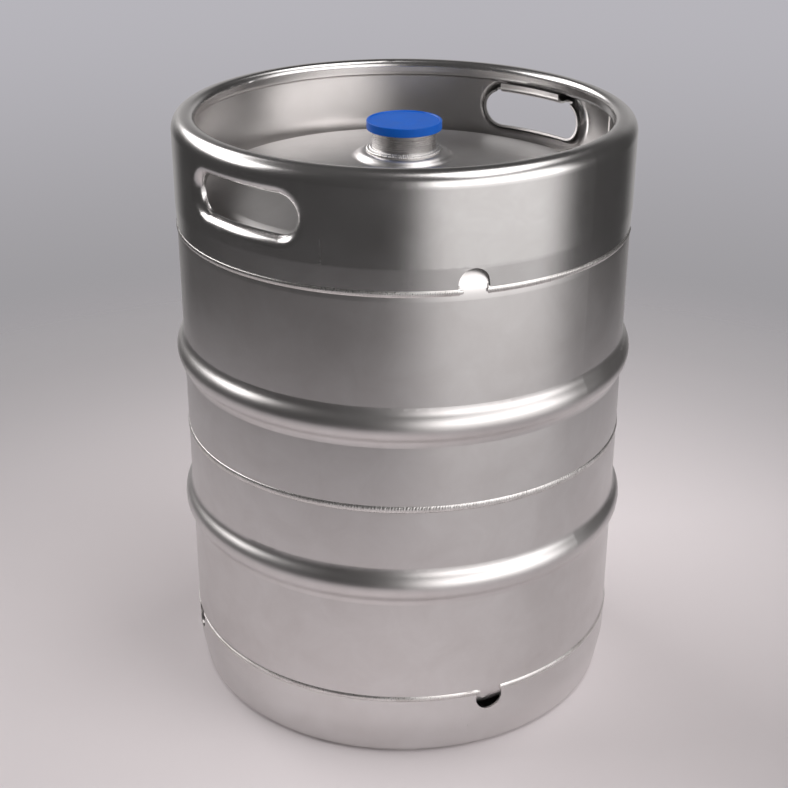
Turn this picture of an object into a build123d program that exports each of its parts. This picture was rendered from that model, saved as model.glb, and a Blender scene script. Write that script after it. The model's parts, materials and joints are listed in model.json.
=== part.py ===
from build123d import *
import math
import os

# Stainless steel beer keg, nominal 50 litres, with two rolled chimes, a welded neck and a
# screwed-in extractor valve (spear) under a plastic dust cap.
# Millimetres.  Z is the keg's axis, z = 0 is the floor under the foot, handles are on +Y and -Y.

# ---------------------------------------------------------------- vessel
SHELL_R = 197.5            # outside radius of the cylindrical wall
SHELL_T = 1.5
WELD_Z = 249.0             # seam between the two deep-drawn halves
UPPER_RIB_Z = 323.0
LOWER_RIB_Z = 175.0
RIB_R = 204.0              # outside radius over a rolling rib
RIB_CREST_R = 16.0
RIB_FILLET_R = 12.0

TOP_TANGENT_Z = 430.0      # where the wall turns into the upper knuckle
TOP_KNUCKLE_R = 40.0
TOP_CROWN_R = 640.0
HUMP_R = 47.0              # foot of the raised boss round the neck
HUMP_KNEE_R = 43.0
HUMP_TOP_R = 38.0
HUMP_H = 5.6
HUMP_BEND_R = 8.0

BASE_TANGENT_Z = 64.5
BASE_KNUCKLE_R = 27.0
BASE_CROWN_R = 760.0

# ---------------------------------------------------------------- chimes
CHIME_T = 2.0
KEG_H = 532.0
CHIME_R = 198.5            # outside radius of the top chime's wall
CHIME_FOOT_R = 197.7       # outside radius where it meets the shell
TOP_SEAT_Z = 437.0         # lower edge of the top chime
CHIME_TAPER_H = 20.0
CHIME_TAPER_BEND_R = 60.0
RIM_SHOULDER_R = 12.5
RIM_CURL_R = 6.0
RIM_INNER_R = 178.5
RIM_CURL_DROP = 13.0
RIM_CURL_TAIL = 6.0
CURL_TAIL_BEND_R = 4.0     # last bend of both rolled edges

BASE_SEAT_Z = 61.0         # upper edge of the bottom chime
BASE_BEND_Z = 34.0
FOOT_R = 191.5
FOOT_INNER_R = 177.0
FOOT_BEND_R = 70.0
FOOT_ROLL_R = 7.0
FOOT_CURL_R = 6.0
FOOT_CURL_H = 13.0
FOOT_CURL_TAIL = 6.0

# ---------------------------------------------------------------- handles and drain notches
HANDLE_W = 106.0           # clear opening, tip to tip
HANDLE_H = 33.0
HANDLE_Z = 490.0
HANDLE_EDGE_R = 9.0        # outside radius of the turned-in edge
HANDLE_FLANGE = 9.4        # reach of the turned-in edge, from the wall's outer face
GRIP_REACH = 17.0          # reach of the rolled grip along the top edge
GRIP_ROLL_R = 5.5
GRIP_RISE = 9.0
GRIP_HALF_DEG = 10.6
GRIP_GAP_DEG = 2.6         # relief slot each side of the grip
GRIP_GAP_DEPTH = 5.5       # metal left between a relief slot and the wall's outer face
GRIP_GAP_H = 6.0

NOTCH_W = 25.6
NOTCH_H = 20.0
TOP_NOTCH_DEG = (-33.0, 33.0, 147.0, 213.0)
BASE_NOTCH_DEG = (-26.0, 57.0, 154.0, 237.0)
BASE_NOTCH_W = 24.4
NOTCH_OVERCUT = 1.0        # how far a notch's flat side passes the chime's edge

CUT_REACH = 40.0           # spare length of cutting and trimming bodies

# ---------------------------------------------------------------- welds
BEAD_W = 4.6               # chime seams
BEAD_PROUD = 0.5
EDGE_PREP = 1.8            # chime edge stands back from the seam, weld metal fills behind it
BEAD_GAP = 2.4             # the break in a seam is this much narrower than its notch
BEAD_CLEAR = 8.0           # how far past its seat a seam is cut away at a notch
MID_BEAD_W = 6.0
MID_BEAD_PROUD = 0.8
ROOT_GAP = 2.4             # gap that the weld metal fills
NECK_BEAD_R = 2.3
NECK_BEAD_OUT = 0.6        # first pass: centre outside the neck, and above the boss
NECK_BEAD_UP = 1.3
NECK_BEAD_STEP = 2.6       # second pass: further out and lower
NECK_BEAD_DROP = 1.2
SEAM_W = 3.4
SEAM_PROUD = 0.5
TOP_SEAM_DEG = 61.0
TOP_SEAM_Z = (459.0, 516.0)
BASE_SEAM_DEG = 205.0
BASE_SEAM_Z = (40.0, 52.0)

# ---------------------------------------------------------------- neck
NECK_R = 28.0
NECK_BORE_R = 25.2         # bore over the 2 inch thread
NECK_TOP_Z = 517.5
NECK_BASE_Z = 475.0
NECK_EDGE = 0.8
LEDGE_R = 23.2             # inward ledge that carries the seal
LEDGE_Z = 478.0
CLIP_R = 26.0              # groove for the locking ring
CLIP_BORE_R = 24.0
CLIP_Z = 514.0
CLIP_T = 1.4
CLIP_GAP_DEG = 40.0

# ---------------------------------------------------------------- extractor valve
SHOULDER_Z = 480.5         # face that squeezes the seal onto the ledge
SEAL_R = 25.1
SEAL_BORE_R = 23.3
THREAD_R = 25.15
SKIRT_R = 23.0
SKIRT_BORE_R = 20.0
SKIRT_Z = 471.0
WELL_R = 21.0              # socket that the tap coupler turns in
LIP_R = 18.6
LIP_Z = 510.0
LUG_SLOT_W = 13.0
DECK_TOP_Z = 497.0
DECK_Z = 494.0
PORT_R = 13.0

GAP = 0.05                 # working gap at a closed valve seat
GAS_SEAL_R = 16.5
GAS_SEAL_Z = 490.0
GAS_LIP_R = 12.6
GAS_LIP_Z = 498.4
CORE_R = 15.0
CORE_T = 3.0
TUBE_R = 8.5
TUBE_BORE_R = 7.7
TUBE_FOOT_Z = 34.0
BALL_R = 6.9
BEER_SEAT_R = 5.4

CAGE_R = 20.0
CAGE_LEG_R = 18.5
CAGE_BORE_R = 17.0
CAGE_RING_Z = 489.0
CAGE_BASE_Z = 435.0
CAGE_FLOOR_T = 2.0
CAGE_LEG_W = 10.0
CAGE_LEGS = 3
GUIDE_R = 8.8              # hole that the down tube slides in
GUIDE_COLLAR_R = 10.3
GUIDE_COLLAR_H = 4.0

GAS_SPRING_R = 12.6        # to the wire's centre
GAS_WIRE_R = 1.0
GAS_TURNS = 7
BEER_SPRING_R = 4.2
BEER_WIRE_R = 0.5
BEER_TURNS = 7
BEER_SPRING_TOP_Z = 483.8
STOP_Z = 465.0
STOP_H = 2.0
STOP_BORE_R = 3.4

# ---------------------------------------------------------------- dust cap
CAP_R = 32.5
CAP_Z = 513.4
CAP_TOP_Z = 521.0
CAP_BORE_R = 28.35
CAP_ROOF_T = 2.8
CAP_DISH = 0.7
CAP_EDGE_W = 1.8
CAP_EDGE_R = 0.6
CAP_RING_R = 23.5
CAP_RING_T = 1.5
CAP_RING_H = 2.2


def polar(centre, radius, degrees):
    """Point at an angle on a circle."""
    angle = math.radians(degrees)
    return (centre[0] + radius * math.cos(angle), centre[1] + radius * math.sin(angle))


def turned(outline):
    """Solid of revolution from a closed outline drawn as (radius, height)."""
    return revolve(Plane.XZ * make_face(outline), axis=Axis.Z)


def turned_polygon(*points):
    """Solid of revolution from the corners of its half section."""
    return turned(Polyline(*points, close=True).edges())


def turned_sheet(path, thickness):
    """Sheet-metal ring: the outer face follows the path, the sheet lies on its inner side."""
    outline = Wire(path).offset_2d(thickness, kind=Kind.TANGENT, side=Side.LEFT, closed=True)
    return turned(outline)


def tube(outer, bore, low, high):
    """Plain ring or tube on the axis."""
    return turned_polygon((bore, low), (outer, low), (outer, high), (bore, high))


def disc(radius, low, high):
    """Plain solid cylinder on the axis."""
    return Pos(0, 0, low) * Cylinder(radius, high - low, align=(Align.CENTER, Align.CENTER, Align.MIN))


def coil(radius, wire_r, low, high, turns):
    """Compression spring standing between two heights."""
    bottom = low + wire_r
    travel = high - low - 2 * wire_r
    line = Pos(0, 0, bottom) * Helix(pitch=travel / turns, height=travel, radius=radius)
    section = Plane(origin=line @ 0, z_dir=line % 0) * Circle(wire_r)
    return sweep(section, path=line, is_frenet=True)


# ---------------------------------------------------------------- vessel outline
def dome(knuckle_r, crown_r):
    """How far the crown's centre lies behind the tangent line, and the angle where the knuckle meets it."""
    across = SHELL_R - knuckle_r
    behind = math.sqrt((crown_r - knuckle_r) ** 2 - across**2)
    return behind, math.degrees(math.atan2(behind, across))


TOP_BEHIND, TOP_MEET = dome(TOP_KNUCKLE_R, TOP_CROWN_R)
BASE_BEHIND, BASE_MEET = dome(BASE_KNUCKLE_R, BASE_CROWN_R)
TOP_CROWN_Z = TOP_TANGENT_Z - TOP_BEHIND
BASE_CROWN_Z = BASE_TANGENT_Z + BASE_BEHIND
HUMP_TOP_Z = TOP_CROWN_Z + math.sqrt(TOP_CROWN_R**2 - HUMP_R**2) + HUMP_H


def rib(mid_z):
    """Rolling rib in the wall, drawn upwards: hollow, crest, hollow."""
    reach = SHELL_R + RIB_FILLET_R - (RIB_R - RIB_CREST_R)
    half = math.sqrt((RIB_CREST_R + RIB_FILLET_R) ** 2 - reach**2)
    turn = math.degrees(math.atan2(half, reach))
    side = SHELL_R + RIB_FILLET_R
    lower = CenterArc((side, mid_z - half), RIB_FILLET_R, 180, -turn)
    crest = CenterArc((RIB_R - RIB_CREST_R, mid_z), RIB_CREST_R, -turn, 2 * turn)
    upper = CenterArc((side, mid_z + half), RIB_FILLET_R, 180 + turn, -turn)
    return [lower, crest, upper], half


def boss():
    """Raised boss round the neck, drawn inwards from the crown."""
    foot_angle = math.degrees(math.acos(HUMP_R / TOP_CROWN_R))
    foot = polar((0, TOP_CROWN_Z), TOP_CROWN_R, foot_angle)
    slope = math.tan(math.radians(90 - foot_angle))
    knee = (HUMP_KNEE_R, foot[1] + (HUMP_R - HUMP_KNEE_R) * slope)
    shoulder = (HUMP_TOP_R, HUMP_TOP_Z)
    rim = (NECK_R, HUMP_TOP_Z)
    return foot_angle, FilletPolyline(foot, knee, shoulder, rim, radius=HUMP_BEND_R)


def upper_shell():
    arcs, half = rib(UPPER_RIB_Z)
    foot_angle, hump = boss()
    start = WELD_Z + ROOT_GAP / 2
    path = [Line((SHELL_R, start), (SHELL_R, UPPER_RIB_Z - half)), *arcs]
    path.append(Line((SHELL_R, UPPER_RIB_Z + half), (SHELL_R, TOP_TANGENT_Z)))
    knuckle_centre = (SHELL_R - TOP_KNUCKLE_R, TOP_TANGENT_Z)
    path.append(CenterArc(knuckle_centre, TOP_KNUCKLE_R, 0, TOP_MEET))
    path.append(CenterArc((0, TOP_CROWN_Z), TOP_CROWN_R, TOP_MEET, foot_angle - TOP_MEET))
    path.extend(hump.edges())
    return turned_sheet(path, SHELL_T)


def lower_shell():
    arcs, half = rib(LOWER_RIB_Z)
    crown = CenterArc((0, BASE_CROWN_Z), BASE_CROWN_R, -90, 90 - BASE_MEET)
    knuckle_centre = (SHELL_R - BASE_KNUCKLE_R, BASE_TANGENT_Z)
    knuckle = CenterArc(knuckle_centre, BASE_KNUCKLE_R, -BASE_MEET, BASE_MEET)
    path = [crown, knuckle, Line((SHELL_R, BASE_TANGENT_Z), (SHELL_R, LOWER_RIB_Z - half)), *arcs]
    path.append(Line((SHELL_R, LOWER_RIB_Z + half), (SHELL_R, WELD_Z - ROOT_GAP / 2)))
    return turned_sheet(path, SHELL_T)


def upper_envelope():
    """Everything inside the upper half's outer face, as one solid block."""
    arc = CenterArc((SHELL_R - TOP_KNUCKLE_R, TOP_TANGENT_Z), TOP_KNUCKLE_R, 0, TOP_MEET)
    top = arc @ 1
    low = TOP_TANGENT_Z - CUT_REACH
    sides = Polyline((top.X, top.Y), (0, top.Y), (0, low), (SHELL_R, low), (SHELL_R, TOP_TANGENT_Z))
    return turned([arc, *sides.edges()])


def lower_envelope():
    """Everything inside the lower half's outer face, as one solid block."""
    arc = CenterArc((SHELL_R - BASE_KNUCKLE_R, BASE_TANGENT_Z), BASE_KNUCKLE_R, -BASE_MEET, BASE_MEET)
    low = arc @ 0
    high = BASE_TANGENT_Z + CUT_REACH
    sides = Polyline((low.X, low.Y), (0, low.Y), (0, high), (SHELL_R, high), (SHELL_R, BASE_TANGENT_Z))
    return turned([arc, *sides.edges()])


# ---------------------------------------------------------------- chimes
def notch(degrees, width, flat_z, rise):
    """Cutter for a D-shaped drain notch whose flat side lies on a weld line."""
    half = width / 2
    stem = rise - math.copysign(half, rise)
    sides = Polyline((-half, stem), (-half, 0), (half, 0), (half, stem))
    arch = ThreePointArc((half, stem), (0, rise), (-half, stem))
    face = make_face([*sides.edges(), arch])
    block = extrude(Plane.XZ * face, amount=2 * CUT_REACH)
    return Rot(0, 0, degrees + 90) * Pos(0, CUT_REACH - SHELL_R, flat_z) * block


def handle_tube(width, height, reach):
    """Stadium-shaped bar through the chime wall on the -Y side, ending `reach` inside the wall."""
    bar = extrude(Pos(0, HANDLE_Z) * SlotOverall(width, height), amount=CHIME_R + CUT_REACH)
    return Plane.XZ * bar - disc(CHIME_R - reach, HANDLE_Z - height, HANDLE_Z + height)


def grip():
    """Rolled grip along the top edge of a handle opening, on the -Y side."""
    low = HANDLE_Z + HANDLE_H / 2
    outer = CHIME_R - HANDLE_EDGE_R
    tip = CHIME_R - GRIP_REACH
    path = FilletPolyline((outer, low), (tip, low), (tip, low + GRIP_RISE), radius=GRIP_ROLL_R)
    outline = Wire(path.edges()).offset_2d(CHIME_T, kind=Kind.TANGENT, side=Side.RIGHT, closed=True)
    bar = revolve(Plane.XZ * make_face(outline), axis=Axis.Z, revolution_arc=2 * GRIP_HALF_DEG)
    return Rot(0, 0, -90 - GRIP_HALF_DEG) * bar


def grip_gaps():
    """Relief slots between the grip and the rest of the turned-in edge, on the -Y side."""
    low = HANDLE_Z + HANDLE_H / 2 - GRIP_GAP_H / 2
    high = low + GRIP_GAP_H
    inner = CHIME_R - 2 * GRIP_REACH
    outer = CHIME_R - GRIP_GAP_DEPTH
    box = Polyline((inner, low), (outer, low), (outer, high), (inner, high), close=True)
    wedge = revolve(Plane.XZ * make_face(box.edges()), axis=Axis.Z, revolution_arc=GRIP_GAP_DEG)
    right = Rot(0, 0, -90 + GRIP_HALF_DEG) * wedge
    left = Rot(0, 0, -90 - GRIP_HALF_DEG - GRIP_GAP_DEG) * wedge
    return [right, left]


def with_handle(wall):
    """Chime wall with one handle opening on the -Y side, its edge turned in all round."""
    skin = CHIME_T
    inner_face = CHIME_R - CHIME_T
    sleeve = handle_tube(HANDLE_W + 2 * skin, HANDLE_H + 2 * skin, HANDLE_FLANGE)
    sleeve = sleeve & disc(inner_face, HANDLE_Z - HANDLE_H, HANDLE_Z + HANDLE_H)
    wall = wall + sleeve
    near = [e for e in wall.edges() if handle_edge(e, inner_face, skin)]
    wall = fillet(near, HANDLE_EDGE_R - CHIME_T)
    wall = wall - handle_tube(HANDLE_W, HANDLE_H, 2 * HANDLE_FLANGE)
    rim = [e for e in wall.edges() if handle_edge(e, CHIME_R, 0.0)]
    wall = fillet(rim, HANDLE_EDGE_R)
    for slot in grip_gaps():
        wall = wall - slot
    return wall + grip()


def handle_edge(edge, radius, grow):
    """True for an edge that lies on a cylinder about Z and on a handle's stadium outline."""
    for place in (0.0, 0.5, 1.0):
        point = edge @ place
        if point.Y > 0 or abs(math.hypot(point.X, point.Y) - radius) > 0.01:
            return False
        reach = max(abs(point.X) - (HANDLE_W - HANDLE_H) / 2, 0.0)
        if abs(math.hypot(reach, point.Z - HANDLE_Z) - HANDLE_H / 2 - grow) > 0.01:
            return False
    return True


def top_chime(envelope):
    path = FilletPolyline(
        (CHIME_FOOT_R, TOP_SEAT_Z + EDGE_PREP),
        (CHIME_R, TOP_SEAT_Z + CHIME_TAPER_H),
        (CHIME_R, KEG_H),
        (RIM_INNER_R, KEG_H),
        (RIM_INNER_R, KEG_H - RIM_CURL_DROP),
        (RIM_INNER_R + RIM_CURL_TAIL, KEG_H - RIM_CURL_DROP - RIM_CURL_TAIL / 2),
        radius=[CHIME_TAPER_BEND_R, RIM_SHOULDER_R, RIM_CURL_R, CURL_TAIL_BEND_R],
    )
    wall = turned_sheet(path.edges(), CHIME_T)
    for half_turn in (0, 180):
        wall = Rot(0, 0, half_turn) * with_handle(Rot(0, 0, -half_turn) * wall)
    wall = wall - envelope
    for degrees in TOP_NOTCH_DEG:
        wall = wall - notch(degrees, NOTCH_W, TOP_SEAT_Z - NOTCH_OVERCUT, NOTCH_H)
    return wall


def bottom_chime(envelope):
    path = FilletPolyline(
        (FOOT_INNER_R + FOOT_CURL_TAIL, FOOT_CURL_H + FOOT_CURL_TAIL / 2),
        (FOOT_INNER_R, FOOT_CURL_H),
        (FOOT_INNER_R, 0),
        (FOOT_R, 0),
        (CHIME_FOOT_R, BASE_BEND_Z),
        (CHIME_FOOT_R, BASE_SEAT_Z - EDGE_PREP),
        radius=[CURL_TAIL_BEND_R, FOOT_CURL_R, FOOT_ROLL_R, FOOT_BEND_R],
    )
    wall = turned_sheet(path.edges(), CHIME_T)
    wall = wall - envelope
    for degrees in BASE_NOTCH_DEG:
        wall = wall - notch(degrees, BASE_NOTCH_W, BASE_SEAT_Z + NOTCH_OVERCUT, -NOTCH_H)
    return wall


# ---------------------------------------------------------------- welds
def lens_radius(width, proud):
    """Radius of the arc that stands `proud` over a chord of the given width."""
    return (width**2 / 4 + proud**2) / (2 * proud)


def centre_weld():
    """Butt weld between the halves: fills the root gap and crowns over both edges."""
    inner = SHELL_R - SHELL_T
    half = MID_BEAD_W / 2
    root = ROOT_GAP / 2
    top = (SHELL_R + MID_BEAD_PROUD, WELD_Z)
    crown = ThreePointArc((SHELL_R, WELD_Z - half), top, (SHELL_R, WELD_Z + half))
    sides = Polyline(
        (SHELL_R, WELD_Z + half),
        (SHELL_R, WELD_Z + root),
        (inner, WELD_Z + root),
        (inner, WELD_Z - root),
        (SHELL_R, WELD_Z - root),
        (SHELL_R, WELD_Z - half),
    )
    return turned([crown, *sides.edges()])


def chime_weld(chime, envelope, mid_z, cut, angles):
    """Weld round a chime's seat, stopping at each drain notch; the notch is (flat side, rise, width)."""
    flat_z, rise, width = cut
    radius = lens_radius(BEAD_W, BEAD_PROUD)
    centre = Pos(CHIME_FOOT_R + BEAD_PROUD - radius, mid_z)
    bead = turned((centre * Circle(radius)).edges()) - envelope - chime
    for degrees in angles:
        bead = bead - notch(degrees, width - BEAD_GAP, flat_z, rise)
    return bead


def neck_weld(shell, neck_tube):
    """Two weld passes side by side where the neck stands in the dome."""
    bead = None
    for step in (0, 1):
        centre_r = NECK_R + NECK_BEAD_OUT + step * NECK_BEAD_STEP
        centre_z = HUMP_TOP_Z + NECK_BEAD_UP - step * NECK_BEAD_DROP
        ring = turned((Pos(centre_r, centre_z) * Circle(NECK_BEAD_R)).edges())
        bead = ring if bead is None else bead + ring
    bead = bead - shell - neck_tube - disc(NECK_R, NECK_BASE_Z, NECK_TOP_Z)
    return bead.solids().sort_by(SortBy.VOLUME)[-1]


def seam(chime, face_r, degrees, span):
    """Upright weld bead on the inner face of a chime, where its strip was closed into a ring."""
    radius = lens_radius(SEAM_W, SEAM_PROUD)
    low, high = span
    bar = Pos(face_r - SEAM_PROUD + radius, 0, low) * Cylinder(
        radius, high - low, align=(Align.CENTER, Align.CENTER, Align.MIN)
    )
    bar = (Rot(0, 0, degrees) * bar) & disc(face_r, low, high)
    return bar - chime


# ---------------------------------------------------------------- neck and valve
def neck():
    return turned_polygon(
        (LEDGE_R, NECK_BASE_Z),
        (NECK_R, NECK_BASE_Z),
        (NECK_R, NECK_TOP_Z - NECK_EDGE),
        (NECK_R - NECK_EDGE, NECK_TOP_Z),
        (NECK_BORE_R + NECK_EDGE, NECK_TOP_Z),
        (NECK_BORE_R, NECK_TOP_Z - NECK_EDGE),
        (NECK_BORE_R, CLIP_Z + CLIP_T),
        (CLIP_R, CLIP_Z + CLIP_T),
        (CLIP_R, CLIP_Z),
        (NECK_BORE_R, CLIP_Z),
        (NECK_BORE_R, LEDGE_Z),
        (LEDGE_R, LEDGE_Z),
    )


def locking_ring():
    """Spring clip that keeps the valve from being unscrewed under pressure."""
    ring = tube(CLIP_R, CLIP_BORE_R, CLIP_Z, CLIP_Z + CLIP_T)
    low = CLIP_Z - CLIP_T
    high = CLIP_Z + 2 * CLIP_T
    box = Polyline((0, low), (NECK_R, low), (NECK_R, high), (0, high), close=True)
    return ring - revolve(Plane.XZ * make_face(box.edges()), axis=Axis.Z, revolution_arc=CLIP_GAP_DEG)


def spear_body():
    """Threaded housing: coupler socket above, valve port in the deck, skirt for the cage below."""
    body = turned_polygon(
        (PORT_R, DECK_Z),
        (SKIRT_BORE_R, DECK_Z),
        (SKIRT_BORE_R, SKIRT_Z),
        (SKIRT_R, SKIRT_Z),
        (SKIRT_R, SHOULDER_Z),
        (THREAD_R, SHOULDER_Z),
        (THREAD_R, CLIP_Z),
        (LIP_R, CLIP_Z),
        (LIP_R, LIP_Z),
        (WELL_R, LIP_Z),
        (WELL_R, DECK_TOP_Z),
        (PORT_R, DECK_TOP_Z),
    )
    slot = Pos(0, 0, LIP_Z) * Box(
        2 * WELL_R, LUG_SLOT_W, CLIP_Z - LIP_Z + 1, align=(Align.CENTER, Align.CENTER, Align.MIN)
    )
    return body - (slot & disc(WELL_R, LIP_Z, CLIP_Z + 1))


def spear_cage():
    """Cage under the housing that carries the main spring and guides the down tube."""
    ring = tube(CAGE_R, CAGE_BORE_R, CAGE_RING_Z, DECK_Z)
    floor_top = CAGE_BASE_Z + CAGE_FLOOR_T
    base = tube(CAGE_LEG_R, GUIDE_R, CAGE_BASE_Z, floor_top)
    collar = tube(GUIDE_COLLAR_R, GUIDE_R, floor_top, floor_top + GUIDE_COLLAR_H)
    sleeve = tube(CAGE_LEG_R, CAGE_BORE_R, CAGE_BASE_Z, CAGE_RING_Z)
    cage = ring + base + collar
    for index in range(CAGE_LEGS):
        bar = Pos(CAGE_R / 2, 0, CAGE_BASE_Z) * Box(
            CAGE_R, CAGE_LEG_W, CAGE_RING_Z - CAGE_BASE_Z, align=(Align.CENTER, Align.CENTER, Align.MIN)
        )
        cage = cage + (sleeve & (Rot(0, 0, index * 360 / CAGE_LEGS) * bar))
    return cage


def gas_valve_seal():
    """Rubber ring that closes the port from below and seats the beer ball in its bore."""
    return turned_polygon(
        (TUBE_R, GAS_SEAL_Z),
        (GAS_SEAL_R, GAS_SEAL_Z),
        (GAS_SEAL_R, DECK_Z - GAP),
        (GAS_LIP_R, DECK_Z - GAP),
        (GAS_LIP_R, GAS_LIP_Z),
        (BEER_SEAT_R, GAS_LIP_Z),
        (BEER_SEAT_R, DECK_Z),
        (TUBE_R, DECK_Z),
    )


def beer_valve_ball():
    drop = math.sqrt(BALL_R**2 - BEER_SEAT_R**2)
    return Pos(0, 0, DECK_Z - drop - GAP) * Sphere(BALL_R)


# ---------------------------------------------------------------- dust cap
def dust_cap():
    roof = CAP_TOP_Z - CAP_ROOF_T
    dish_r = CAP_R - CAP_EDGE_W
    cap = turned_polygon(
        (0, roof),
        (CAP_RING_R - CAP_RING_T, roof),
        (CAP_RING_R - CAP_RING_T, roof - CAP_RING_H),
        (CAP_RING_R, roof - CAP_RING_H),
        (CAP_RING_R, roof),
        (CAP_BORE_R, roof),
        (CAP_BORE_R, CAP_Z),
        (CAP_R, CAP_Z),
        (CAP_R, CAP_TOP_Z),
        (dish_r, CAP_TOP_Z),
        (dish_r - CAP_DISH, CAP_TOP_Z - CAP_DISH),
        (0, CAP_TOP_Z - CAP_DISH),
    )
    outer = [e for e in cap.edges() if abs((e @ 0).X ** 2 + (e @ 0).Y ** 2 - CAP_R**2) < 0.01]
    rings = [e for e in outer if e.geom_type == GeomType.CIRCLE]
    return fillet(rings, CAP_EDGE_R)


def main():
    os.makedirs("parts", exist_ok=True)
    upper_block = upper_envelope()
    lower_block = lower_envelope()
    parts = {}
    parts["upper_shell"] = upper_shell()
    parts["lower_shell"] = lower_shell()
    parts["top_chime"] = top_chime(upper_block)
    parts["bottom_chime"] = bottom_chime(lower_block)
    parts["centre_weld"] = centre_weld()
    top_cut = (TOP_SEAT_Z - BEAD_CLEAR, NOTCH_H, NOTCH_W)
    base_cut = (BASE_SEAT_Z + BEAD_CLEAR, -NOTCH_H, BASE_NOTCH_W)
    parts["top_chime_weld"] = chime_weld(
        parts["top_chime"], upper_block, TOP_SEAT_Z, top_cut, TOP_NOTCH_DEG
    )
    parts["bottom_chime_weld"] = chime_weld(
        parts["bottom_chime"], lower_block, BASE_SEAT_Z, base_cut, BASE_NOTCH_DEG
    )
    parts["top_chime_seam"] = seam(parts["top_chime"], CHIME_R - CHIME_T, TOP_SEAM_DEG, TOP_SEAM_Z)
    parts["bottom_chime_seam"] = seam(
        parts["bottom_chime"], CHIME_FOOT_R - CHIME_T, BASE_SEAM_DEG, BASE_SEAM_Z
    )
    parts["neck"] = neck()
    parts["neck_weld"] = neck_weld(parts["upper_shell"], parts["neck"])
    parts["neck_seal"] = tube(SEAL_R, SEAL_BORE_R, LEDGE_Z, SHOULDER_Z)
    parts["locking_ring"] = locking_ring()
    parts["spear_body"] = spear_body()
    parts["spear_cage"] = spear_cage()
    parts["gas_valve_seal"] = gas_valve_seal()
    parts["gas_valve_core"] = tube(CORE_R, TUBE_R, GAS_SEAL_Z - CORE_T, GAS_SEAL_Z)
    parts["down_tube"] = tube(TUBE_R, TUBE_BORE_R, TUBE_FOOT_Z, DECK_Z)
    parts["gas_valve_spring"] = coil(
        GAS_SPRING_R, GAS_WIRE_R, CAGE_BASE_Z + CAGE_FLOOR_T, GAS_SEAL_Z - CORE_T, GAS_TURNS
    )
    parts["beer_valve_ball"] = beer_valve_ball()
    parts["beer_valve_spring"] = coil(
        BEER_SPRING_R, BEER_WIRE_R, STOP_Z + STOP_H, BEER_SPRING_TOP_Z, BEER_TURNS
    )
    parts["beer_spring_stop"] = tube(TUBE_BORE_R, STOP_BORE_R, STOP_Z, STOP_Z + STOP_H)
    parts["dust_cap"] = dust_cap()
    for name, shape in parts.items():
        export_step(shape, f"parts/{name}.step")


main()
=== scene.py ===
import bmesh
import bpy
import json
import math
import random
from collections import namedtuple
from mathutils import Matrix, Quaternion, Vector


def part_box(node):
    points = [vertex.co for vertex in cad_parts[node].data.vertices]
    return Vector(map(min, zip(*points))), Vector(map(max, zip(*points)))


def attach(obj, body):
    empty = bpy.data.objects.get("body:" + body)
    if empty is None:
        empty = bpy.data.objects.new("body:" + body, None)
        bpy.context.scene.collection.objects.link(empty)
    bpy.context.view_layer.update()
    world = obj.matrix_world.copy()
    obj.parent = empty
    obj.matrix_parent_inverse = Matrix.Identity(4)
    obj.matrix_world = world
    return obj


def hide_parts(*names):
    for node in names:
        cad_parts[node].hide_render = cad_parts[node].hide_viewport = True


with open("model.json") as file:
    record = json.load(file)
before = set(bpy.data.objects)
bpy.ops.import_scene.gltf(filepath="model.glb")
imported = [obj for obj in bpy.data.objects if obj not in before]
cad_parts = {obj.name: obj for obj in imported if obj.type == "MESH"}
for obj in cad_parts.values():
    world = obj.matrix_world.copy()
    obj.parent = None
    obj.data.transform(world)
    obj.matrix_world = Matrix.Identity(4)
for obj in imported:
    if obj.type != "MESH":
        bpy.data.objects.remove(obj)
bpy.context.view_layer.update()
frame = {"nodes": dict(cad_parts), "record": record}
MM = 0.001

# ---------------------------------------------------------------- places read from the frame
CENTRE_PROUD = 0.8 * MM    # how far the middle weld stands out of the wall
SEAM_SUNK = 0.25 * MM      # the chime beads start this deep in the seams
EDGE_GAP = 1.8 * MM        # from a chime's edge to the middle of its seam
centre_low, centre_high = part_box("centre_weld")
MID_Z = (centre_low.z + centre_high.z) / 2
WALL_R = centre_high.x - CENTRE_PROUD
SEAM_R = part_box("top_chime_weld")[1].x - SEAM_SUNK
TOP_SEAM_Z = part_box("top_chime")[0].z - EDGE_GAP
BASE_SEAM_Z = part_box("bottom_chime")[1].z + EDGE_GAP

# ---------------------------------------------------------------- camera
VIEW_AZIMUTH = 41.0        # degrees from -Y towards +X
VIEW_ELEVATION = 25.43
VIEW_DISTANCE = 1.401      # from the keg's middle, in metres
VIEW_PITCH = 0.46          # small turns after the camera looks at the middle, in degrees
VIEW_YAW = 0.33
VIEW_ROLL = 0.34
LENS = 68.6                # millimetres, as the sensor's width is
SENSOR = 36.0
CLIP_NEAR = 0.01           # metres
CLIP_FAR = 50.0


def direction(azimuth, elevation=0.0):
    """Unit vector from the keg towards a place; azimuth counts from -Y towards +X."""
    a, e = math.radians(azimuth), math.radians(elevation)
    return Vector((math.sin(a) * math.cos(e), -math.cos(a) * math.cos(e), math.sin(e)))


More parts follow.
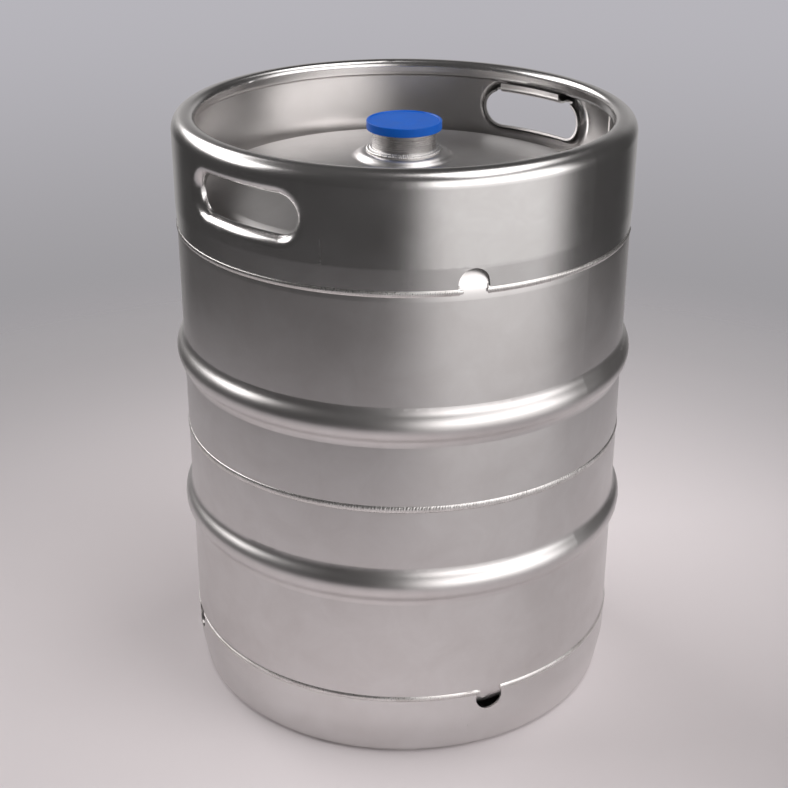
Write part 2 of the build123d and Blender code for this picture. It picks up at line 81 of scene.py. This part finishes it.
def make_camera():
    data = bpy.data.cameras.new("camera")
    data.sensor_width = SENSOR
    data.lens = LENS
    data.clip_start = CLIP_NEAR
    data.clip_end = CLIP_FAR
    camera = bpy.data.objects.new("camera", data)
    bpy.context.scene.collection.objects.link(camera)
    back = direction(VIEW_AZIMUTH, VIEW_ELEVATION)
    camera.location = Vector((0, 0, MID_Z)) + back * VIEW_DISTANCE
    turn = (-back).to_track_quat("-Z", "Y")
    turn = turn @ Quaternion((1, 0, 0), math.radians(VIEW_PITCH))
    turn = turn @ Quaternion((0, 1, 0), math.radians(VIEW_YAW))
    turn = turn @ Quaternion((0, 0, 1), math.radians(VIEW_ROLL))
    camera.rotation_mode = "QUATERNION"
    camera.rotation_quaternion = turn
    bpy.context.scene.camera = camera


make_camera()


# ---------------------------------------------------------------- node helpers
MIX_FIRST, MIX_SECOND, MIX_RESULT = 6, 7, 2     # a Mix node's colour sockets


class Nodes:
    """A node tree, with short calls for the nodes used here."""

    def __init__(self, tree, place="Object"):
        self.tree = tree
        self.place = tree.nodes.new("ShaderNodeTexCoord").outputs[place]

    def node(self, kind, **settings):
        made = self.tree.nodes.new(kind)
        for key, value in settings.items():
            setattr(made, key, value)
        return made

    def link(self, source, target):
        self.tree.links.new(source, target)

    def math(self, operation, a, b=None):
        """A maths node; a and b are numbers or sockets."""
        made = self.node("ShaderNodeMath", operation=operation)
        for index, value in enumerate((a, b)):
            if value is None:
                continue
            if isinstance(value, (int, float)):
                made.inputs[index].default_value = value
            else:
                self.link(value, made.inputs[index])
        return made.outputs[0]

    def stretch(self, x, y, z):
        made = self.node("ShaderNodeMapping")
        made.inputs["Scale"].default_value = (x, y, z)
        self.link(self.place, made.inputs["Vector"])
        return made.outputs[0]

    def noise(self, scale, detail, rough, vector=None, distortion=0.0):
        """Noise with this many cycles in a metre, unless a stretched place is given."""
        made = self.node("ShaderNodeTexNoise")
        made.inputs["Scale"].default_value = scale
        made.inputs["Detail"].default_value = detail
        made.inputs["Roughness"].default_value = rough
        made.inputs["Distortion"].default_value = distortion
        self.link(vector or self.place, made.inputs["Vector"])
        return made.outputs["Fac"]

    def span(self, value, from_low, from_high, to_low=0.0, to_high=1.0, ease="LINEAR"):
        """Carries one range over to another, held at its ends."""
        made = self.node("ShaderNodeMapRange", interpolation_type=ease)
        made.clamp = True
        made.inputs["From Min"].default_value = from_low
        made.inputs["From Max"].default_value = from_high
        made.inputs["To Min"].default_value = to_low
        made.inputs["To Max"].default_value = to_high
        self.link(value, made.inputs["Value"])
        return made.outputs[0]

    def window(self, value, low, high, soft):
        """1 between low and high, falling to 0 over the soft width at each end."""
        rise = self.span(value, low - soft / 2, low + soft / 2, ease="SMOOTHSTEP")
        fall = self.span(value, high - soft / 2, high + soft / 2, 1.0, 0.0, ease="SMOOTHSTEP")
        return self.math("MULTIPLY", rise, fall)

    def blend(self, factor, first, second):
        """Mixes two colours, each a tuple or a socket."""
        made = self.node("ShaderNodeMix", data_type="RGBA")
        for socket, value in ((made.inputs[MIX_FIRST], first), (made.inputs[MIX_SECOND], second)):
            if isinstance(value, tuple):
                socket.default_value = (*value, 1.0)
            else:
                self.link(value, socket)
        self.link(factor, made.inputs[0])
        return made.outputs[MIX_RESULT]

    def radius(self):
        """Distance from the keg's axis."""
        split = self.node("ShaderNodeSeparateXYZ")
        self.link(self.place, split.inputs[0])
        squares = [self.math("POWER", split.outputs[i], 2.0) for i in (0, 1)]
        return self.math("SQRT", self.math("ADD", *squares))


class Shader(Nodes):
    """A material built on one Principled shader."""

    def __init__(self, name):
        self.material = bpy.data.materials.new(name)
        self.material.use_nodes = True
        super().__init__(self.material.node_tree)
        self.bsdf = self.tree.nodes["Principled BSDF"]

    def bump(self, height, strength, distance):
        made = self.node("ShaderNodeBump")
        made.inputs["Strength"].default_value = strength
        made.inputs["Distance"].default_value = distance
        self.link(height, made.inputs["Height"])
        self.link(made.outputs[0], self.bsdf.inputs["Normal"])


# ---------------------------------------------------------------- materials
# Noise scales in cycles per metre.
STAIN_SCALE = 9.0
CLOUD_SCALE = 28.0
GRAIN_SCALE = 1700.0
SCRATCH_STRETCH = (520.0, 520.0, 9.0)
SCRATCH_PATCH_SCALE = 14.0
WELD_GRAIN_SCALE = 900.0
WELD_TINT_SCALE = 60.0
LATHE_STRETCH = (30.0, 30.0, 1600.0)
LATHE_CLOUD_SCALE = 40.0
SMEAR_SCALE = 300.0
RUBBER_SCALE = 1400.0
MOULD_SCALE = 1100.0
MOULD_CLOUD_SCALE = 70.0


def satin_steel(name, tint, low_rough, high_rough):
    """Pickled and satin stainless sheet: fine grain, soft stains, a few light scratches."""
    s = Shader(name)
    s.bsdf.inputs["Metallic"].default_value = 1.0
    stains = s.noise(STAIN_SCALE, 5.0, 0.6)
    clouds = s.noise(CLOUD_SCALE, 4.0, 0.6, distortion=0.6)
    specks = s.noise(GRAIN_SCALE, 2.0, 0.5)
    scratch = s.span(s.noise(1.0, 2.0, 0.5, s.stretch(*SCRATCH_STRETCH)), 0.70, 0.76)
    patches = s.span(s.noise(SCRATCH_PATCH_SCALE, 2.0, 0.5), 0.52, 0.64)
    scratches = s.math("MULTIPLY", scratch, patches)
    light = tuple(c * 1.02 for c in tint)
    dark = (tint[0] * 0.93, tint[1] * 0.92, tint[2] * 0.915)
    base = s.blend(s.span(s.math("ADD", stains, clouds), 0.75, 1.25), dark, light)
    s.link(base, s.bsdf.inputs["Base Color"])
    wander = s.math("ADD", s.math("MULTIPLY", stains, 0.6), s.math("MULTIPLY", specks, 0.4))
    rough = s.span(wander, 0.35, 0.65, low_rough, high_rough)
    rough = s.math("ADD", rough, s.math("MULTIPLY", scratches, 0.04))
    s.link(rough, s.bsdf.inputs["Roughness"])
    relief = s.math("SUBTRACT", s.math("MULTIPLY", specks, 0.5), s.math("MULTIPLY", scratches, 0.15))
    s.bump(relief, 0.10, 0.00006)
    return s.material


def weld_metal():
    """Weld bead: coarse grain, from pale steel to slightly straw-coloured."""
    s = Shader("weld_metal")
    s.bsdf.inputs["Metallic"].default_value = 1.0
    grains = s.noise(WELD_GRAIN_SCALE, 3.0, 0.6)
    tint = s.noise(WELD_TINT_SCALE, 3.0, 0.5)
    straw, pale = (0.60, 0.58, 0.56), (0.86, 0.845, 0.83)
    base = s.blend(s.span(s.math("ADD", grains, tint), 0.7, 1.3), straw, pale)
    s.link(base, s.bsdf.inputs["Base Color"])
    s.link(s.span(grains, 0.3, 0.7, 0.24, 0.42), s.bsdf.inputs["Roughness"])
    s.bump(grains, 0.45, 0.00012)
    return s.material


def machined_steel(name, tint):
    """Turned stainless: fine rings about the axis."""
    s = Shader(name)
    s.bsdf.inputs["Metallic"].default_value = 1.0
    rings = s.noise(1.0, 3.0, 0.6, s.stretch(*LATHE_STRETCH))
    cloud = s.noise(LATHE_CLOUD_SCALE, 3.0, 0.5)
    dark = tuple(c * 0.93 for c in tint)
    base = s.blend(s.span(cloud, 0.35, 0.65), dark, tint)
    s.link(base, s.bsdf.inputs["Base Color"])
    s.link(s.span(s.math("ADD", rings, cloud), 0.7, 1.3, 0.20, 0.32), s.bsdf.inputs["Roughness"])
    s.bump(rings, 0.07, 0.00006)
    return s.material


def polished_steel():
    """Polished ball with faint smears."""
    s = Shader("polished_steel")
    s.bsdf.inputs["Metallic"].default_value = 1.0
    smear = s.noise(SMEAR_SCALE, 3.0, 0.5)
    s.link(s.blend(smear, (0.74, 0.74, 0.75), (0.80, 0.80, 0.80)), s.bsdf.inputs["Base Color"])
    s.link(s.span(smear, 0.3, 0.7, 0.06, 0.14), s.bsdf.inputs["Roughness"])
    return s.material


def seal_rubber():
    """Black moulded rubber, dull and finely grained."""
    s = Shader("seal_rubber")
    grain = s.noise(RUBBER_SCALE, 2.0, 0.5)
    s.link(s.blend(grain, (0.018, 0.018, 0.019), (0.040, 0.039, 0.038)), s.bsdf.inputs["Base Color"])
    s.link(s.span(grain, 0.3, 0.7, 0.55, 0.72), s.bsdf.inputs["Roughness"])
    s.bump(grain, 0.3, 0.0001)
    return s.material


def cap_plastic():
    """Blue polyethylene: slightly cloudy, soft sheen, fine moulding texture."""
    s = Shader("cap_plastic")
    grain = s.noise(MOULD_SCALE, 3.0, 0.55)
    cloud = s.noise(MOULD_CLOUD_SCALE, 3.0, 0.6)
    deep_blue, blue = (0.001, 0.118, 0.60), (0.002, 0.140, 0.68)
    base = s.blend(s.span(cloud, 0.3, 0.7), deep_blue, blue)
    s.link(base, s.bsdf.inputs["Base Color"])
    s.link(s.span(s.math("ADD", grain, cloud), 0.7, 1.3, 0.38, 0.48), s.bsdf.inputs["Roughness"])
    s.bsdf.inputs["Specular IOR Level"].default_value = 0.35
    s.bsdf.inputs["Subsurface Weight"].default_value = 0.06
    s.bsdf.inputs["Subsurface Radius"].default_value = (0.002, 0.004, 0.008)
    s.bump(grain, 0.10, 0.0001)
    return s.material


FINISHES = {
    "shell_steel": satin_steel("satin_shell", (0.70, 0.685, 0.68), 0.32, 0.39),
    "chime_steel": satin_steel("satin_chime", (0.71, 0.70, 0.695), 0.20, 0.27),
    "weld_metal": weld_metal(),
    "neck_steel": machined_steel("machined_neck", (0.66, 0.65, 0.64)),
    "valve_steel": machined_steel("machined_valve", (0.70, 0.69, 0.67)),
    "spring_steel": machined_steel("spring_wire", (0.56, 0.56, 0.56)),
    "ball_steel": polished_steel(),
    "seal_rubber": seal_rubber(),
    "cap_blue": cap_plastic(),
}


def dress(obj, material):
    obj.data.materials.clear()
    obj.data.materials.append(material)


for part in frame["record"]["subparts"]:
    dress(frame["nodes"][part["node"]], FINISHES[part["material_slot"]])


# ---------------------------------------------------------------- weld beads
BeadSection = namedtuple("BeadSection", "half_width proud sink pitch depth slope")

STEPS_PER_RIPPLE = 5
RIPPLE_JITTER = 0.25       # share of a ripple
RIPPLE_SIZE = (0.7, 1.0)   # shares of the section's depth
RIPPLE_LAG = 0.55          # how far a ripple's middle lags behind its sides, in ripples
END_STEPS = 9              # rows in a rounded end
END_START = 0.02           # share of a rounded end cut off its tip, which leaves a small flat face
END_WIDTH = 0.6            # share of the width left where the height is nothing
BASE_WIDTH = 0.8           # share of the width that the sunk base has
ACROSS_STEPS = 8
ACROSS = [-1 + 2 * index / ACROSS_STEPS for index in range(ACROSS_STEPS + 1)]
WHOLE = (0.0, 360.0)
ARC_STEP = 0.5             # degrees


def arcs_of(node):
    """Angles in degrees that a ring's mesh covers, as (start, end) runs."""
    bins = [False] * int(360 / ARC_STEP)
    mesh = frame["nodes"][node].data
    for edge in mesh.edges:
        ends = [mesh.vertices[i].co for i in edge.vertices]
        first, last = sorted(math.degrees(math.atan2(p.y, p.x)) % 360 for p in ends)
        if last - first > 180:
            first, last = last - 360, first
        for index in range(math.floor(first / ARC_STEP), math.ceil(last / ARC_STEP) + 1):
            bins[index % len(bins)] = True
    if all(bins):
        return [WHOLE]
    runs = []
    for index, filled in enumerate(bins):
        if filled and not bins[index - 1]:
            end = index
            while bins[end % len(bins)]:
                end += 1
            runs.append((index * ARC_STEP, end * ARC_STEP))
    return runs


def end_height(row, count):
    """Share of its height that a row keeps, which falls away at both ends of a bead."""
    inward = max(END_START, min(1.0, row / END_STEPS, (count - row) / END_STEPS))
    return math.sqrt(inward * (2 - inward))


def bead(name, section, centre_r, centre_z, arc, seed):
    """A weld bead round the axis, laid in overlapping crescents; the slope tips its face up."""
    start, end = arc
    whole = end - start >= 360
    ripples = int(math.radians(end - start) * centre_r / section.pitch)
    count = ripples * STEPS_PER_RIPPLE
    tilt = math.radians(section.slope)
    draw = random.Random(seed)
    jitter = [draw.uniform(-RIPPLE_JITTER, RIPPLE_JITTER) for _ in range(ripples + 2)]
    size = [draw.uniform(*RIPPLE_SIZE) for _ in range(ripples + 2)]

    def point(row, along, rise):
        angle = math.radians(start + (end - start) * row / count)
        out = rise * math.cos(tilt) - along * math.sin(tilt)
        up = along * math.cos(tilt) + rise * math.sin(tilt)
        r = centre_r + out
        return (r * math.cos(angle), r * math.sin(angle), centre_z + up)

    points = []
    rows = count if whole else count + 1
    for row in range(rows):
        height = 1.0 if whole else end_height(row, count)
        for t in ACROSS:
            arch = 1 - t * t
            turn = row / STEPS_PER_RIPPLE + RIPPLE_LAG * arch
            ripple = int(turn) % (ripples + 1)
            shift = jitter[ripple] if whole else 0.0
            dip = 0.5 - 0.5 * math.cos(2 * math.pi * (turn + shift))
            rise = height * (section.proud * arch - section.depth * size[ripple] * dip * arch)
            along = section.half_width * t * (END_WIDTH + (1 - END_WIDTH) * height)
            points.append(point(row, along, rise))
        for t in (1, -1):
            points.append(point(row, section.half_width * t * BASE_WIDTH, -section.sink))

    ring = len(ACROSS) + 2
    faces = []
    for row in range(count):
        a, b = row * ring, ((row + 1) % rows) * ring
        for i in range(ring):
            j = (i + 1) % ring
            faces.append((a + i, b + i, b + j, a + j))
    if not whole:
        faces.append(tuple(range(ring)))
        faces.append(tuple(reversed(range(count * ring, (count + 1) * ring))))

    mesh = bpy.data.meshes.new(name)
    mesh.from_pydata(points, [], faces)
    mesh.materials.append(FINISHES["weld_metal"])
    obj = bpy.data.objects.new(name, mesh)
    bpy.context.scene.collection.objects.link(obj)
    work = bmesh.new()
    work.from_mesh(mesh)
    bmesh.ops.recalc_face_normals(work, faces=work.faces)
    work.to_mesh(mesh)
    work.free()
    for polygon in mesh.polygons:
        polygon.use_smooth = len(polygon.vertices) == 4
    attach(obj, "keg")
    return obj


def section_mm(half_width, proud, sink, pitch, depth, slope=0.0):
    """A bead's section from sizes in millimetres and its slope in degrees."""
    return BeadSection(half_width * MM, proud * MM, sink * MM, pitch * MM, depth * MM, slope)


centre_half = (centre_high.z - centre_low.z) / 2
CENTRE_SECTION = BeadSection(centre_half, CENTRE_PROUD, 1.2 * MM, 2.4 * MM, 0.5 * MM, 0.0)
INNER_SECTION = section_mm(2.3, 2.3, 1.2, 1.9, 0.4, slope=55)
OUTER_SECTION = section_mm(2.3, 2.2, 1.0, 1.9, 0.4, slope=50)
SEAM_SECTION = section_mm(1.7, 0.55, 0.7, 1.9, 0.3)
FIRST_SEAM_SEED = 10

centre_bead = bead("centre_bead", CENTRE_SECTION, WALL_R, MID_Z, WHOLE, seed=1)
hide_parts("centre_weld")

# The neck's two passes lie in from the weld's outer edge and down from its top.
neck_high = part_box("neck_weld")[1]
INNER_R, INNER_Z = neck_high.x - 4.9 * MM, neck_high.z - 2.3 * MM
OUTER_R, OUTER_Z = neck_high.x - 2.3 * MM, neck_high.z - 3.4 * MM
inner_pass = bead("neck_bead_inner", INNER_SECTION, INNER_R, INNER_Z, WHOLE, seed=2)
outer_pass = bead("neck_bead_outer", OUTER_SECTION, OUTER_R, OUTER_Z, WHOLE, seed=3)
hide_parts("neck_weld")
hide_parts("neck_weld")

for node, level in (("top_chime_weld", TOP_SEAM_Z), ("bottom_chime_weld", BASE_SEAM_Z)):
    for number, arc in enumerate(arcs_of(node)):
        bead(f"{node}_cap_{number}", SEAM_SECTION, SEAM_R, level, arc, seed=FIRST_SEAM_SEED + number)


# ---------------------------------------------------------------- stage and light
FLOOR_REACH = 1.3
FLOOR_RINGS = 24
FLOOR_SPOKES = 96
# Painted light falloff: between these radii the floor's colour goes from the near tones to a darker
# painted-shade colour, which stands in for light falling off away from the keg.
FLOOR_BRIGHT_TO = 0.25     # radii in metres
FLOOR_DIM_FROM = 0.85
FLOOR_FADE = (0.72, 1.15)
FLOOR_NEAR = ((0.80, 0.75, 0.765), (0.83, 0.78, 0.795))
FLOOR_PAINTED_FALLOFF = (0.48, 0.465, 0.48)
FLOOR_MOTTLE_SCALE = 3.0


def pale_floor():
    """Round pale floor, its colour painted brightest under the keg and darker outwards as painted light
    falloff; it fades out at its edge and isn't seen from below.
    """
    points = [(0.0, 0.0, 0.0)]
    for ring in range(1, FLOOR_RINGS + 1):
        reach = FLOOR_REACH * ring / FLOOR_RINGS
        for spoke in range(FLOOR_SPOKES):
            angle = 2 * math.pi * spoke / FLOOR_SPOKES
            points.append((reach * math.cos(angle), reach * math.sin(angle), 0.0))
    pairs = [(spoke, (spoke + 1) % FLOOR_SPOKES) for spoke in range(FLOOR_SPOKES)]
    faces = [(0, 1 + first, 1 + last) for first, last in pairs]
    for ring in range(FLOOR_RINGS - 1):
        a, b = 1 + ring * FLOOR_SPOKES, 1 + (ring + 1) * FLOOR_SPOKES
        faces += [(a + first, b + first, b + last, a + last) for first, last in pairs]
    mesh = bpy.data.meshes.new("floor")
    mesh.from_pydata(points, [], faces)
    s = Shader("pale_floor")
    r = s.radius()
    near = s.blend(s.noise(FLOOR_MOTTLE_SCALE, 4.0, 0.6), *FLOOR_NEAR)
    # painted shade: the floor's colour darkens away from the keg in place of light falloff
    painted_falloff = s.span(r, FLOOR_BRIGHT_TO, FLOOR_DIM_FROM, ease="SMOOTHSTEP")
    s.link(s.blend(painted_falloff, near, FLOOR_PAINTED_FALLOFF), s.bsdf.inputs["Base Color"])
    s.bsdf.inputs["Roughness"].default_value = 0.8
    s.bsdf.inputs["Specular IOR Level"].default_value = 0.2
    fade = s.span(r, *FLOOR_FADE, 1.0, 0.0, ease="SMOOTHSTEP")
    above = s.math("SUBTRACT", 1.0, s.node("ShaderNodeNewGeometry").outputs["Backfacing"])
    s.link(s.math("MULTIPLY", fade, above), s.bsdf.inputs["Alpha"])
    mesh.materials.append(s.material)
    floor = bpy.data.objects.new("floor", mesh)
    bpy.context.scene.collection.objects.link(floor)


# Soft boxes in the dark studio. Each has its azimuth and elevation in degrees, its brightness and
# the width of its soft edge. Azimuth is counted from the camera's side, and right is positive.
SOFTBOXES = (
    ((10, 82), (-26, 4), 1.0, 24),
    ((12, 84), (2, 38), 2.3, 18),
    ((-150, -84), (19, 44), 4.6, 9),
    ((40, 140), (52, 84), 3.0, 14),
)
BACK_WALL = ((-30, 30), (-40, 20), 0.42, 24)     # the same, with azimuth counted from behind
SHADE = 0.055                                    # brightness of the rest
LIGHT_COLOUR = (1.0, 0.975, 0.97, 1.0)
BACKDROP_LOW, BACKDROP_HIGH = (0.335, 0.325, 0.340), (0.475, 0.465, 0.500)
BACKDROP_ELEVATIONS = (-22.0, -9.0)


def studio():
    """World light: soft boxes in a dark studio; the camera itself sees a plain grey backdrop."""
    world = bpy.data.worlds.new("studio")
    bpy.context.scene.world = world
    world.use_nodes = True
    n = Nodes(world.node_tree, "Generated")
    turn = n.node("ShaderNodeVectorRotate", rotation_type="Z_AXIS")
    turn.inputs["Angle"].default_value = -math.radians(VIEW_AZIMUTH)
    n.link(n.place, turn.inputs["Vector"])
    split = n.node("ShaderNodeSeparateXYZ")
    n.link(turn.outputs[0], split.inputs[0])
    x, y, z = split.outputs
    azimuth = n.math("DEGREES", n.math("ARCTAN2", x, n.math("MULTIPLY", y, -1.0)))
    from_back = n.math("DEGREES", n.math("ARCTAN2", n.math("MULTIPLY", x, -1.0), y))
    elevation = n.math("DEGREES", n.math("ARCSINE", z))

    def patch(around, box):
        sides, heights, brightness, soft = box
        across = n.window(around, *sides, soft)
        shape = n.math("MULTIPLY", across, n.window(elevation, *heights, soft))
        return n.math("MULTIPLY", shape, brightness)

    level, *others = [patch(azimuth, box) for box in SOFTBOXES]
    for light in (*others, patch(from_back, BACK_WALL), SHADE):
        level = n.math("ADD", level, light)
    lit = world.node_tree.nodes["Background"]
    lit.inputs["Color"].default_value = LIGHT_COLOUR
    n.link(level, lit.inputs["Strength"])
    seen = n.node("ShaderNodeBackground")
    climb = n.span(elevation, *BACKDROP_ELEVATIONS, ease="SMOOTHSTEP")
    n.link(n.blend(climb, BACKDROP_LOW, BACKDROP_HIGH), seen.inputs["Color"])
    choose = n.node("ShaderNodeMixShader")
    n.link(n.node("ShaderNodeLightPath").outputs["Is Camera Ray"], choose.inputs[0])
    n.link(lit.outputs[0], choose.inputs[1])
    n.link(seen.outputs[0], choose.inputs[2])
    n.link(choose.outputs[0], world.node_tree.nodes["World Output"].inputs[0])


pale_floor()
studio()
bpy.context.scene.view_settings.view_transform = "Standard"
